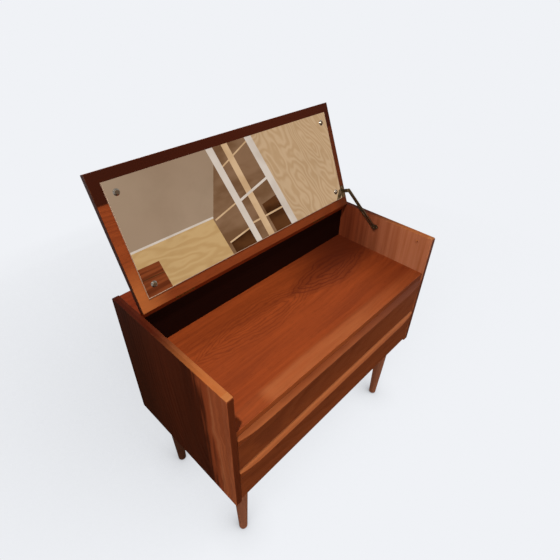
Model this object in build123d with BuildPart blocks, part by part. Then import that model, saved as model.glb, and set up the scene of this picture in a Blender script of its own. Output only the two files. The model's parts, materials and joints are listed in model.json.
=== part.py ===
"""Teak dressing chest with a lift-up mirror lid, two lipped drawers and turned legs.

Millimetres. The floor is z = 0 and the front faces -Y. The lid stands open on its stay, the
drawers are shut, and the origin is under the middle of the whole, open lid included.
"""
import os
from math import acos, cos, degrees, hypot, radians, sin

from build123d import *

os.makedirs("parts", exist_ok=True)

# Case; the open lid reaches out behind it, so the case stands forward of the origin
case_centre_y = -11.4
case_width = 840.0
case_depth = 437.0
case_top = 752.0
panel_height = 438.0
panel_t = 18.0
panel_corner_r = 5.0
lipping_width = 18.0
edge_r = 1.0
arris = 0.8
compartment_depth = 130.0
floor_t = 18.0
floor_setback = 4.0
top_reveal = 2.5
strip_t = 18.0
strip_rear_inset = 3.0
compartment_back_t = 9.0
compartment_back_setback = 5.0
bottom_t = 12.0
back_t = 6.0
back_rear_inset = 2.0
rebate_depth = 8.0
back_side_clearance = 0.2

# Legs and the rails that carry them
leg_side_inset = 58.0
leg_end_inset = 56.0
leg_top_d = 46.0
leg_foot_d = 26.0
foot_chamfer = 4.5
rail_width = 64.0
rail_t = 20.0
rail_end_gap = 6.0
tenon_d = 22.0
tenon_length = 17.0
tenon_clearance = 0.05

# Lid and mirror
lid_depth = 333.5
lid_t = 18.0
lid_side_gap = 2.0
lid_open_angle = 112.4
hinge_gap = 1.0
mirror_t = 4.0
mirror_side_margin = 26.0
mirror_hinge_margin = 29.0
mirror_edge_margin = 25.5
screw_side_inset = 25.0
screw_end_inset = 28.0
screw_cap_d = 16.5
screw_cap_top_d = 9.0
screw_cap_height = 4.4
screw_slot_width = 1.2
screw_slot_depth = 1.1
screw_shank_d = 5.0
screw_shank_depth = 10.0
screw_clearance = 0.05
mirror_hole_d = 7.0

# Butt hinges
hinge_side_inset = 130.0
hinge_length = 60.0
leaf_width = 14.0
leaf_t = 1.5
knuckle_d = 6.4
knuckle_count = 3
knuckle_gap = 0.2
knuckle_clearance = 0.4
hinge_pin_d = 3.0
pin_clearance = 0.05

# Lid stay on the right and the pegs that carry the shut lid
stay_gap = 6.0
stay_arm_t = 2.0
stay_arm_width = 12.0
stay_eye_along_lid = 48.0
stay_eye_reach = 22.0
stay_stud_from_front = 203.0
stay_stud_below_top = 38.0
stay_slot_width = 5.0
stay_end_margin = 9.0
stay_side_play = 0.3
stud_d = 4.5
stud_end_gap = 0.4
stay_plate_width = 15.0
stay_plate_length = 24.0
stay_plate_t = 1.5
bracket_width = 18.0
bracket_length = 38.0
bracket_t = 2.0
rivet_d = 5.0
rivet_head_d = 9.0
rivet_head_t = 1.4
rivet_clearance = 0.05
peg_d = 7.0
peg_length = 6.0
peg_depth = 8.0
peg_from_front = 48.0
peg_clearance = 0.05
peg_lid_gap = 0.3

# Drawers
face_setback = 1.5
front_t = 18.0
front_side_gap = 1.5
floor_gap = 1.5
front_gap = 5.0
front_bottom_rise = 14.0
lip_reach = 6.5
lip_end_reach = 2.0
lip_end_run = 80.0
lip_nose = 3.0
lip_cove_r = 26.0
lip_bevel_drop = 20.0
lip_bevel_run = 9.5
lip_round = 1.2
box_side_gap = 2.0
box_rise = 28.0
box_height = 92.0
box_depth = 384.0
box_side_t = 14.0
box_back_t = 12.0
socket_depth = 12.0
pin_end_width = 5.0
pin_root_width = 10.0
box_back_drop = 6.0
box_bottom_t = 4.0
box_bottom_rise = 8.0
groove_depth = 5.0
groove_play = 0.2
runner_height = 16.0
runner_rise = 40.0
runner_t = 9.5
runner_play = 0.3
runner_groove_depth = 8.0
runner_groove_stop = 34.0
runner_front_gap = 4.0
runner_rear_gap = 8.0

# Places that several pieces share
outer_x = case_width / 2
inner_x = outer_x - panel_t
front_y = case_centre_y - case_depth / 2
rear_y = case_centre_y + case_depth / 2
panel_bottom = case_top - panel_height
floor_top = case_top - compartment_depth
floor_under = floor_top - floor_t
deck_top = case_top - top_reveal
strip_under = deck_top - strip_t
back_rear_y = rear_y - back_rear_inset
back_inner_y = back_rear_y - back_t
face_y = front_y + face_setback
front_back_y = face_y + front_t
rail_front_y = front_back_y + rail_end_gap
bottom_under = panel_bottom + rail_t
lid_width = 2 * (inner_x - lid_side_gap)
axis_y = front_y + floor_setback + lid_depth + hinge_gap / 2
axis_z = deck_top
strip_front_y = axis_y + hinge_gap / 2
wall_front_y = strip_front_y + compartment_back_setback
lid_under = deck_top - lid_t
leg_x = outer_x - leg_side_inset
leg_front_y = front_y + leg_end_inset
leg_rear_y = rear_y - leg_end_inset
knuckle_r = knuckle_d / 2
hinge_x = lid_width / 2 - hinge_side_inset

# The lid's own frame: along the hinge, out to the free edge, and out of the mirror's side
tilt = radians(lid_open_angle)
lid_frame = Plane(origin=(0, axis_y, axis_z), x_dir=(1, 0, 0), z_dir=(0, -sin(tilt), -cos(tilt)))
shut_frame = Plane(origin=(0, axis_y, axis_z), x_dir=(1, 0, 0), z_dir=(0, 0, -1))


def save(piece, name):
    piece.part.label = name
    export_step(piece.part, f"parts/{name}.step")


def span(low, high):
    return high - low, (high + low) / 2


def board(x_range, y_range, z_range, eased=None):
    """A plain board between three pairs of faces; eased picks the edges that are rounded."""
    width, x = span(*x_range)
    depth, y = span(*y_range)
    with BuildPart() as plank:
        with BuildSketch(Plane.XY.offset(z_range[0])):
            with Locations((x, y)):
                Rectangle(width, depth)
        extrude(amount=z_range[1] - z_range[0])
        if eased:
            fillet(eased(plank), edge_r)
    return plank


def between(side, near, far):
    """The X range from near to far out on one side, the lower end first."""
    return tuple(sorted((side * near, side * far)))


# Side panels: a veneered core with a solid lipping along its front edge
def outline_without_joint(piece, joint):
    """The edges round the outer and inner faces, less the one that meets the other half."""
    faces = piece.faces().filter_by(Axis.X).sort_by(Axis.X)
    edges = ShapeList()
    for face in (faces[0], faces[-1]):
        edges += face.edges().sort_by(Axis.Y)[1:] if joint == "front" else face.edges().sort_by(Axis.Y)[:-1]
    return edges


def side_panel(side, name):
    low, high = between(side, inner_x, outer_x)
    split_y = front_y + lipping_width
    height, mid_z = span(panel_bottom, case_top)
    with BuildPart() as core:
        depth, mid_y = span(split_y, rear_y)
        with BuildSketch(Plane.YZ.offset(low)):
            with Locations((mid_y, mid_z)):
                outline = Rectangle(depth, height)
            fillet(outline.vertices().group_by(Axis.X)[-1], panel_corner_r)
        extrude(amount=panel_t)
        chamfer(outline_without_joint(core, "front"), arris)
        with BuildSketch(Plane.XY.offset(panel_bottom)):
            with Locations((side * (inner_x + rebate_depth / 2), (back_inner_y + rear_y) / 2)):
                Rectangle(rebate_depth, rear_y - back_inner_y)
        extrude(amount=strip_under - panel_bottom, mode=Mode.SUBTRACT)
        with BuildSketch(Plane.YZ.offset(side * inner_x)):
            with Locations((peg_y, peg_z)):
                Circle(peg_d / 2 + peg_clearance)
        extrude(amount=side * peg_depth, mode=Mode.SUBTRACT)
    save(core, f"side_panel_{name}")
    with BuildPart() as lipping:
        width, mid_y = span(front_y, split_y)
        with BuildSketch(Plane.YZ.offset(low)):
            with Locations((mid_y, mid_z)):
                outline = Rectangle(width, height)
            fillet(outline.vertices().group_by(Axis.X)[0], panel_corner_r)
        extrude(amount=panel_t)
        chamfer(outline_without_joint(lipping, "rear"), arris)
    save(lipping, f"panel_lipping_{name}")


# Pegs in the panels, on which the shut lid rests
peg_y = front_y + peg_from_front
peg_z = lid_under - peg_lid_gap - peg_d / 2


def lid_peg(side, name):
    with BuildPart() as peg:
        with BuildSketch(Plane.YZ.offset(side * (inner_x + peg_depth))):
            with Locations((peg_y, peg_z)):
                Circle(peg_d / 2)
        extrude(amount=-side * (peg_depth + peg_length))
    save(peg, f"lid_peg_{name}")


# Turned legs, each with a tenon that stands in a rail under the case bottom
def leg(x, y, name):
    foot_half = leg_foot_d / 2
    top_half = leg_top_d / 2
    with BuildPart() as turned:
        with BuildSketch(Plane(origin=(x, y, 0), x_dir=(1, 0, 0), z_dir=(0, -1, 0))):
            with BuildLine():
                Line((0, 0), (foot_half - foot_chamfer, 0))
                Line((foot_half - foot_chamfer, 0), (foot_half, foot_chamfer))
                Line((foot_half, foot_chamfer), (top_half, panel_bottom))
                Line((top_half, panel_bottom), (tenon_d / 2, panel_bottom))
                Line((tenon_d / 2, panel_bottom), (tenon_d / 2, panel_bottom + tenon_length))
                Line((tenon_d / 2, panel_bottom + tenon_length), (0, panel_bottom + tenon_length))
                Line((0, panel_bottom + tenon_length), (0, 0))
            make_face()
        revolve(axis=Axis((x, y, 0), (0, 0, 1)))
    save(turned, f"leg_{name}")


def leg_rail(side, name):
    x_range = between(side, leg_x - rail_width / 2, leg_x + rail_width / 2)
    width, x = span(*x_range)
    depth, y = span(rail_front_y, back_inner_y - rail_end_gap)
    with BuildPart() as rail:
        with BuildSketch(Plane.XY.offset(panel_bottom)):
            with Locations((x, y)):
                Rectangle(width, depth)
            with Locations((side * leg_x, leg_front_y), (side * leg_x, leg_rear_y)):
                Circle(tenon_d / 2 + tenon_clearance, mode=Mode.SUBTRACT)
        extrude(amount=rail_t)
    save(rail, f"leg_rail_{name}")


# Hinges: two leaves let into the edges of the strip and the lid, and a pin
def knuckle_spans(moving):
    """The stretches along the hinge whose knuckles belong to one leaf."""
    pitch = hinge_length / knuckle_count
    start = 1 if moving else 0
    return [(i * pitch - hinge_length / 2, (i + 1) * pitch - hinge_length / 2)
            for i in range(start, knuckle_count, 2)]


def hinge_leaf(frame, way, x, moving, name):
    """A leaf on the way side of the hinge gap: 1 towards the lid, -1 towards the strip."""
    leaf_mid = way * (hinge_gap / 2 + leaf_t / 2)
    pin_hole_r = hinge_pin_d / 2 + pin_clearance
    along = Plane(origin=frame.origin + Vector(x, 0, 0), x_dir=frame.y_dir, z_dir=(1, 0, 0))
    with BuildPart() as leaf:
        with BuildSketch(frame):
            with Locations((x, leaf_mid)):
                Rectangle(hinge_length, leaf_t)
        extrude(amount=leaf_width)
        for low, high in knuckle_spans(not moving):
            with BuildSketch(along.offset(low - knuckle_gap)):
                Circle(knuckle_r + knuckle_gap)
            extrude(amount=high - low + 2 * knuckle_gap, mode=Mode.SUBTRACT)
        for low, high in knuckle_spans(moving):
            with BuildSketch(along.offset(low)):
                Circle(knuckle_r)
            extrude(amount=high - low)
        with BuildSketch(along):
            Circle(pin_hole_r)
        extrude(amount=hinge_length, both=True, mode=Mode.SUBTRACT)
    save(leaf, name)


def hinge_pin(x, name):
    with BuildPart() as pin:
        with BuildSketch(Plane.YZ.offset(x)):
            with Locations((axis_y, axis_z)):
                Circle(hinge_pin_d / 2)
        extrude(amount=hinge_length / 2, both=True)
    save(pin, name)


def hinge_seats(frame, way):
    """What is cut away for the hinges: pockets for the leaves and coves for the knuckles."""
    depth = hinge_gap / 2 + leaf_t
    with BuildPart() as seats:
        for x in (-hinge_x, hinge_x):
            with BuildSketch(frame):
                with Locations((x, way * depth / 2)):
                    Rectangle(hinge_length + 2 * knuckle_gap, depth)
            extrude(amount=leaf_width + knuckle_gap)
            with BuildSketch(Plane.YZ.offset(x)):
                with Locations((axis_y, axis_z)):
                    Circle(knuckle_r + knuckle_clearance)
            extrude(amount=hinge_length / 2 + knuckle_gap, both=True)
    return seats.part


# Drawers: a lipped front, and a grooved box that hangs on wooden runners
front_width = 2 * (inner_x - front_side_gap)
upper_front_top = floor_under - floor_gap
lower_front_bottom = panel_bottom + front_bottom_rise
front_height = (upper_front_top - lower_front_bottom - front_gap) / 2
box_half = inner_x - box_side_gap
box_rear_y = front_back_y + box_depth
runner_groove_height = runner_height + 2 * runner_play
groove_low_rise = runner_rise - runner_groove_height / 2
groove_high_rise = runner_rise + runner_groove_height / 2
back_low_rise = box_bottom_rise + box_bottom_t
back_high_rise = box_height - box_back_drop
pin_rises = (
    (back_low_rise + groove_low_rise) / 2,
    groove_high_rise + (back_high_rise - groove_high_rise) / 4,
    back_high_rise - (back_high_rise - groove_high_rise) / 4,
)


def dovetail_pins(side, box_low, y_root, y_end):
    """The pins between the tails of one corner, across the thickness of the drawer side."""
    inner_face = box_half - box_side_t
    with BuildPart() as pins:
        for rise in pin_rises:
            z = box_low + rise
            with BuildSketch(Plane.YZ.offset(side * inner_face)):
                with BuildLine():
                    Polyline((y_end, z - pin_end_width / 2), (y_end, z + pin_end_width / 2),
                             (y_root, z + pin_root_width / 2), (y_root, z - pin_root_width / 2), close=True)
                make_face()
            extrude(amount=side * box_side_t)
    return pins.part


def drawer_front(name, z_low):
    z_high = z_low + front_height
    lip_y = face_y - lip_reach
    end_y = face_y - lip_end_reach
    nose_high = z_high - lip_bevel_drop
    cove_turn = degrees(acos(1 - lip_reach / lip_cove_r))
    cove_low = nose_high - lip_nose - lip_cove_r * sin(radians(cove_turn))
    half = front_width / 2
    groove_low = z_low + box_rise + box_bottom_rise
    with BuildPart() as front:
        with BuildSketch(Plane.YZ):
            with BuildLine():
                Line((front_back_y, z_low), (face_y, z_low))
                Line((face_y, z_low), (face_y, cove_low))
                cove = JernArc((face_y, cove_low), (0, 1), lip_cove_r, cove_turn)
                Line(cove @ 1, (lip_y, nose_high))
                Line((lip_y, nose_high), (lip_y + lip_bevel_run, z_high))
                Line((lip_y + lip_bevel_run, z_high), (front_back_y, z_high))
                Line((front_back_y, z_high), (front_back_y, z_low))
            make_face()
        extrude(amount=half, both=True)
        with BuildSketch(Plane.XY.offset(z_low)):
            with BuildLine():
                Line((half, front_back_y), (-half, front_back_y))
                Line((-half, front_back_y), (-half, end_y))
                TangentArc((lip_end_run - half, lip_y), (-half, end_y), tangent=(-1, 0))
                Line((lip_end_run - half, lip_y), (half - lip_end_run, lip_y))
                TangentArc((half - lip_end_run, lip_y), (half, end_y), tangent=(1, 0))
                Line((half, end_y), (half, front_back_y))
            make_face()
        extrude(amount=front_height, mode=Mode.INTERSECT)
        nose_edges = front.edges().filter_by(Axis.X).group_by(Axis.Y)[0]
        fillet(nose_edges, lip_round)
        with BuildSketch(Plane.XY.offset(groove_low)):
            with Locations((0, front_back_y - groove_depth / 2)):
                Rectangle(2 * (box_half - box_side_t + groove_depth), groove_depth)
        extrude(amount=box_bottom_t + groove_play, mode=Mode.SUBTRACT)
        for side in (-1, 1):
            low, high = between(side, box_half - box_side_t, half)
            with BuildSketch(Plane.XY.offset(z_low + box_rise)):
                with Locations(((low + high) / 2, front_back_y - socket_depth / 2)):
                    Rectangle(high - low, socket_depth)
            extrude(amount=box_height, mode=Mode.SUBTRACT)
            add(dovetail_pins(side, z_low + box_rise, front_back_y, front_back_y - socket_depth))
    save(front, f"{name}_drawer_front")


def drawer_side(name, side, side_name, z_low):
    box_low = z_low + box_rise
    inner_face = box_half - box_side_t
    low, high = between(side, inner_face, box_half)
    groove_mid = box_low + runner_rise
    bottom_groove_mid = box_low + box_bottom_rise + (box_bottom_t + groove_play) / 2
    with BuildPart() as plank:
        with BuildSketch(Plane.XY.offset(box_low)):
            with Locations(((low + high) / 2, (front_back_y - socket_depth + box_rear_y) / 2)):
                Rectangle(box_side_t, box_depth + socket_depth)
        extrude(amount=box_height)
        add(dovetail_pins(side, box_low, front_back_y, front_back_y - socket_depth), mode=Mode.SUBTRACT)
        add(dovetail_pins(side, box_low, box_rear_y - box_back_t, box_rear_y), mode=Mode.SUBTRACT)
        with BuildSketch(Plane.XZ.offset(-box_rear_y)):
            with Locations((side * (box_half - runner_groove_depth / 2), groove_mid)):
                Rectangle(runner_groove_depth, runner_groove_height)
        extrude(amount=box_depth - runner_groove_stop, mode=Mode.SUBTRACT)
        with BuildSketch(Plane.XZ.offset(-box_rear_y)):
            with Locations((side * (inner_face + groove_depth / 2), bottom_groove_mid)):
                Rectangle(groove_depth, box_bottom_t + groove_play)
        extrude(amount=box_depth + socket_depth, mode=Mode.SUBTRACT)
    save(plank, f"{name}_drawer_side_{side_name}")


def drawer_box(name, z_low):
    box_low = z_low + box_rise
    inner_face = box_half - box_side_t
    bottom_half = inner_face + groove_depth - groove_play
    bottom_low = box_low + box_bottom_rise
    drawer_side(name, -1, "left", z_low)
    drawer_side(name, 1, "right", z_low)
    bottom_y = (front_back_y - groove_depth + groove_play, box_rear_y)
    bottom = board((-bottom_half, bottom_half), bottom_y, (bottom_low, bottom_low + box_bottom_t))
    save(bottom, f"{name}_drawer_bottom")
    with BuildPart() as back:
        with BuildSketch(Plane.XY.offset(box_low + back_low_rise)):
            with Locations((0, box_rear_y - box_back_t / 2)):
                Rectangle(2 * inner_face, box_back_t)
        extrude(amount=back_high_rise - back_low_rise)
        add(dovetail_pins(-1, box_low, box_rear_y - box_back_t, box_rear_y))
        add(dovetail_pins(1, box_low, box_rear_y - box_back_t, box_rear_y))
    save(back, f"{name}_drawer_back")


def runner(name, side, side_name, z_low):
    top = z_low + box_rise + runner_rise + runner_groove_height / 2 - runner_play
    start = front_back_y + runner_groove_stop + runner_front_gap
    strip = board(between(side, inner_x - runner_t, inner_x), (start, back_inner_y - runner_rear_gap),
                  (top - runner_height, top))
    save(strip, f"{name}_runner_{side_name}")


# Case boards
def floor_edges(piece):
    return piece.edges().filter_by(Axis.X).group_by(Axis.Y)[0]


def rear_strip():
    depth, y = span(strip_front_y, rear_y - strip_rear_inset)
    with BuildPart() as strip:
        with BuildSketch(Plane.XY.offset(strip_under)):
            with Locations((0, y)):
                Rectangle(2 * inner_x, depth)
        extrude(amount=strip_t)
        fillet(strip.edges().filter_by(Axis.X).group_by(Axis.Z)[-1], edge_r)
        add(hinge_seats(shut_frame, -1), mode=Mode.SUBTRACT)
    save(strip, "rear_top_strip")


for side, side_name in ((-1, "left"), (1, "right")):
    side_panel(side, side_name)
    lid_peg(side, side_name)
    leg_rail(side, side_name)
    leg(side * leg_x, leg_front_y, f"front_{side_name}")
    leg(side * leg_x, leg_rear_y, f"rear_{side_name}")

inner_width = (-inner_x, inner_x)
floor_board = board(inner_width, (front_y + floor_setback, back_inner_y), (floor_under, floor_top), floor_edges)
save(floor_board, "compartment_floor")
bottom_board = board(inner_width, (rail_front_y, back_inner_y), (bottom_under, bottom_under + bottom_t))
save(bottom_board, "bottom_board")
back_half = inner_x + rebate_depth - back_side_clearance
back_panel = board((-back_half, back_half), (back_inner_y, back_rear_y), (panel_bottom, strip_under))
save(back_panel, "back_panel")
wall_y = (wall_front_y, wall_front_y + compartment_back_t)
compartment_back = board(inner_width, wall_y, (floor_top, strip_under))
save(compartment_back, "compartment_back")
rear_strip()

for drawer, drawer_low in (("lower", lower_front_bottom), ("upper", lower_front_bottom + front_height + front_gap)):
    drawer_front(drawer, drawer_low)
    drawer_box(drawer, drawer_low)
    runner(drawer, -1, "left", drawer_low)
    runner(drawer, 1, "right", drawer_low)

# Lid board with its hinge seats and the blind holes for the mirror screws
lid_mid = (hinge_gap + lid_depth) / 2
mirror_width = lid_width - 2 * mirror_side_margin
mirror_low = hinge_gap / 2 + mirror_hinge_margin
mirror_high = hinge_gap / 2 + lid_depth - mirror_edge_margin
mirror_mid = (mirror_low + mirror_high) / 2
screw_x = mirror_width / 2 - screw_side_inset
screw_places = [(x, y) for x in (-screw_x, screw_x)
                for y in (mirror_low + screw_end_inset, mirror_high - screw_end_inset)]

with BuildPart() as lid:
    with BuildSketch(lid_frame):
        with Locations((0, lid_mid)):
            Rectangle(lid_width, lid_depth)
    extrude(amount=lid_t)
    chamfer(lid.edges(), arris)
    with BuildSketch(lid_frame.offset(lid_t)):
        with Locations(*screw_places):
            Circle(screw_shank_d / 2 + screw_clearance)
    extrude(amount=-screw_shank_depth, mode=Mode.SUBTRACT)
    add(hinge_seats(lid_frame, 1), mode=Mode.SUBTRACT)
save(lid, "lid")

with BuildPart() as mirror_glass:
    with BuildSketch(lid_frame.offset(lid_t)):
        with Locations((0, mirror_mid)):
            Rectangle(mirror_width, mirror_high - mirror_low)
        with Locations(*screw_places):
            Circle(mirror_hole_d / 2, mode=Mode.SUBTRACT)
    extrude(amount=mirror_t)
save(mirror_glass, "mirror_glass")

# Slotted cap screws through the corners of the mirror
cap_half = screw_cap_d / 2
cap_top_half = screw_cap_top_d / 2
shank_half = screw_shank_d / 2
shank_end = -(mirror_t + screw_shank_depth)

with BuildPart() as screw:
    with BuildSketch(Plane.XZ):
        with BuildLine():
            Polyline((0, shank_end), (shank_half, shank_end), (shank_half, 0), (cap_half, 0),
                     (cap_top_half, screw_cap_height), (0, screw_cap_height), close=True)
        make_face()
    revolve(axis=Axis.Z)
    with BuildSketch(Plane.XY.offset(screw_cap_height)):
        Rectangle(screw_cap_d, screw_slot_width)
    extrude(amount=-screw_slot_depth, mode=Mode.SUBTRACT)

with BuildPart() as mirror_screws:
    with Locations(lid_frame.offset(lid_t + mirror_t)):
        with Locations(*screw_places):
            add(screw.part)
save(mirror_screws, "mirror_screws")

for x, hinge_name in ((-hinge_x, "left"), (hinge_x, "right")):
    hinge_leaf(shut_frame, -1, x, False, f"hinge_{hinge_name}_fixed_leaf")
    hinge_leaf(lid_frame, 1, x, True, f"hinge_{hinge_name}_lid_leaf")
    hinge_pin(x, f"hinge_{hinge_name}_pin")

# Lid stay: a slotted arm from a bracket on the lid to a stud on the right panel
arm_high_x = inner_x - stay_gap
arm_low_x = arm_high_x - stay_arm_t
ear_high_x = arm_low_x - stay_side_play
ear_low_x = ear_high_x - bracket_t
eye_out = lid_t + stay_eye_reach
eye = lid_frame.from_local_coords(Vector(0, stay_eye_along_lid, eye_out))
shut_eye = shut_frame.from_local_coords(Vector(0, stay_eye_along_lid, eye_out))
stud_y = front_y + stay_stud_from_front
stud_z = case_top - stay_stud_below_top
open_reach = hypot(stud_y - eye.Y, stud_z - eye.Z)
shut_reach = hypot(stud_y - shut_eye.Y, stud_z - shut_eye.Z)
arm_way = (0, (stud_y - eye.Y) / open_reach, (stud_z - eye.Z) / open_reach)
arm_frame = Plane(origin=(arm_low_x, eye.Y, eye.Z), x_dir=arm_way, z_dir=(1, 0, 0))
eye_r = stay_arm_width / 2

with BuildPart() as stay_arm:
    arm_end = open_reach + stay_end_margin - eye_r
    with BuildSketch(arm_frame):
        with Locations((arm_end / 2, 0)):
            SlotCenterToCenter(arm_end, stay_arm_width)
        with Locations(((open_reach + shut_reach) / 2, 0)):
            SlotCenterToCenter(open_reach - shut_reach, stay_slot_width, mode=Mode.SUBTRACT)
        Circle(rivet_d / 2 + rivet_clearance, mode=Mode.SUBTRACT)
    extrude(amount=stay_arm_t)
save(stay_arm, "stay_arm")

ear_frame = Plane(origin=(ear_low_x, axis_y, axis_z), x_dir=lid_frame.y_dir, z_dir=(1, 0, 0))
with BuildPart() as stay_bracket:
    with BuildSketch(lid_frame.offset(lid_t)):
        with Locations((ear_high_x - bracket_width / 2, stay_eye_along_lid)):
            RectangleRounded(bracket_width, bracket_length, edge_r)
    extrude(amount=bracket_t)
    ear_base = lid_t + bracket_t / 2
    with BuildSketch(ear_frame):
        with Locations((stay_eye_along_lid, eye_out)):
            Circle(eye_r)
        with Locations((stay_eye_along_lid, (ear_base + eye_out) / 2)):
            Rectangle(stay_arm_width, eye_out - ear_base)
        with Locations((stay_eye_along_lid, eye_out)):
            Circle(rivet_d / 2, mode=Mode.SUBTRACT)
    extrude(amount=bracket_t)
save(stay_bracket, "stay_bracket")

eye_plane = Plane(origin=(ear_low_x, eye.Y, eye.Z), x_dir=arm_way, z_dir=(1, 0, 0))
rivet_grip = arm_high_x + stay_side_play - ear_low_x
with BuildPart() as stay_rivet:
    with BuildSketch(eye_plane):
        Circle(rivet_d / 2)
    extrude(amount=rivet_grip)
    with BuildSketch(eye_plane):
        Circle(rivet_head_d / 2)
    extrude(amount=-rivet_head_t)
    with BuildSketch(eye_plane.offset(rivet_grip)):
        Circle(rivet_head_d / 2)
    extrude(amount=rivet_head_t)
save(stay_rivet, "stay_rivet")

with BuildPart() as stay_plate:
    with BuildSketch(Plane.YZ.offset(inner_x)):
        with Locations((stud_y, stud_z)):
            SlotOverall(stay_plate_length, stay_plate_width)
    extrude(amount=-stay_plate_t)
    with BuildSketch(Plane.YZ.offset(inner_x - stay_plate_t)):
        with Locations((stud_y, stud_z)):
            Circle(stud_d / 2)
    extrude(amount=-(stay_gap - stay_plate_t - stud_end_gap))
save(stay_plate, "stay_plate")
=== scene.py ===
import json
from math import cos, pi, radians, sin

import bpy
from mathutils import Matrix, Vector


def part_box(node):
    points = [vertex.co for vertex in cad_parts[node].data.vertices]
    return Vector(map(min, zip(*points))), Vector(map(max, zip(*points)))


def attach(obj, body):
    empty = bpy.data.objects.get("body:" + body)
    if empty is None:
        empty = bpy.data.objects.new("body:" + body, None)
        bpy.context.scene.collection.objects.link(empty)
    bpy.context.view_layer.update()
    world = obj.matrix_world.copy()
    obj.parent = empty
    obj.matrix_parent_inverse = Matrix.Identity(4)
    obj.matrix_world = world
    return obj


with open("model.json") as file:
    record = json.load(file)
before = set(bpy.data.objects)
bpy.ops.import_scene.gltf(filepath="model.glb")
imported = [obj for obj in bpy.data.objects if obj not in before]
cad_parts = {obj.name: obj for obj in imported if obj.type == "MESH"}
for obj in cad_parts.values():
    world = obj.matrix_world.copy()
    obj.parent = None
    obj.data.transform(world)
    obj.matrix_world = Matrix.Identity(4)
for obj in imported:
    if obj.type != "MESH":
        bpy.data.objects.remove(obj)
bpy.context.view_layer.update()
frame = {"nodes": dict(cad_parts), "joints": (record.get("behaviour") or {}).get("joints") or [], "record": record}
nodes = frame["nodes"]
joints = {joint["name"]: joint for joint in frame["joints"]}

# The lid's own directions as it stands open: away from the hinge, and out of the mirror's side
hinge_point = Vector(joints["lid_hinge"]["pos_m"])
lid_tilt = radians(joints["lid_hinge"]["range_deg"][1])
lid_out = Vector((0, -cos(lid_tilt), sin(lid_tilt)))
mirror_way = Vector((0, -sin(lid_tilt), -cos(lid_tilt)))
lid_turn = lid_tilt + pi

# Places on the case, read from its boards
case_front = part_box("panel_lipping_left")[0].y
case_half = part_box("side_panel_right")[1].x
inner_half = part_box("side_panel_right")[0].x
shelf_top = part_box("compartment_floor")[1].z
MM = 0.001


# Colour and node helpers
def tint(red, green, blue):
    """A colour given as it shows on a screen, 0 to 255, for a shader socket."""
    def linear(value):
        value /= 255
        return value / 12.92 if value <= 0.04045 else ((value + 0.055) / 1.055) ** 2.4
    return (linear(red), linear(green), linear(blue), 1.0)


def feed(tree, socket, value):
    if isinstance(value, bpy.types.NodeSocket):
        tree.links.new(value, socket)
    else:
        socket.default_value = value


def put(tree, kind, settings=None, **sockets):
    """A new node with its settings made and its inputs fed by name, spaces written as _."""
    made = tree.nodes.new(kind)
    for name, value in (settings or {}).items():
        setattr(made, name, value)
    for name, value in sockets.items():
        feed(tree, made.inputs[name.replace("_", " ")], value)
    return made


def sum_of(tree, operation, first, second=None, third=None):
    made = tree.nodes.new("ShaderNodeMath")
    made.operation = operation
    for socket, value in zip(made.inputs, (first, second, third)):
        if value is not None:
            feed(tree, socket, value)
    return made.outputs[0]


def times(tree, first, *others):
    for other in others:
        first = sum_of(tree, "MULTIPLY", first, other)
    return first


def opposite(tree, value):
    """What is left of 1 when the value is taken off."""
    return sum_of(tree, "SUBTRACT", 1.0, value)


def ease(tree, value, low, high):
    """0 below low, 1 above high, and a smooth rise between."""
    made = put(tree, "ShaderNodeMapRange", {"interpolation_type": "SMOOTHSTEP"}, Value=value,
               From_Min=low, From_Max=high)
    return made.outputs["Result"]


def blend_colour(tree, amount, first, second, mode="MIX"):
    made = tree.nodes.new("ShaderNodeMix")
    made.data_type = "RGBA"
    made.blend_type = mode
    factor, colour_a, colour_b = (made.inputs[index] for index in (0, 6, 7))
    feed(tree, factor, amount)
    feed(tree, colour_a, first)
    feed(tree, colour_b, second)
    return made.outputs[2]


def speckle(tree, vector, stretch, detail=2.0, rough=0.5):
    """Noise from 0 to 1, with its own scale along each axis of the vector."""
    scaled = put(tree, "ShaderNodeVectorMath", {"operation": "MULTIPLY"})
    feed(tree, scaled.inputs[0], vector)
    scaled.inputs[1].default_value = stretch
    noise = put(tree, "ShaderNodeTexNoise", Vector=scaled.outputs[0], Scale=1.0, Detail=detail,
                Roughness=rough)
    return noise.outputs["Fac"]


def apart(tree, vector):
    return put(tree, "ShaderNodeSeparateXYZ", Vector=vector).outputs


def new_group(name, inputs, outputs):
    tree = bpy.data.node_groups.new(name, "ShaderNodeTree")
    for socket_name, kind, value in inputs:
        socket = tree.interface.new_socket(socket_name, in_out="INPUT", socket_type=kind)
        if value is not None:
            socket.default_value = value
    for socket_name, kind in outputs:
        tree.interface.new_socket(socket_name, in_out="OUTPUT", socket_type=kind)
    return tree, tree.nodes.new("NodeGroupInput").outputs, tree.nodes.new("NodeGroupOutput").inputs


COLOUR, VALUE, VECTOR = "NodeSocketColor", "NodeSocketFloat", "NodeSocketVector"
PORE_TONE = (0.012, 0.004, 0.002, 1.0)
WORN_WOOD = tint(185, 117, 65)


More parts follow.
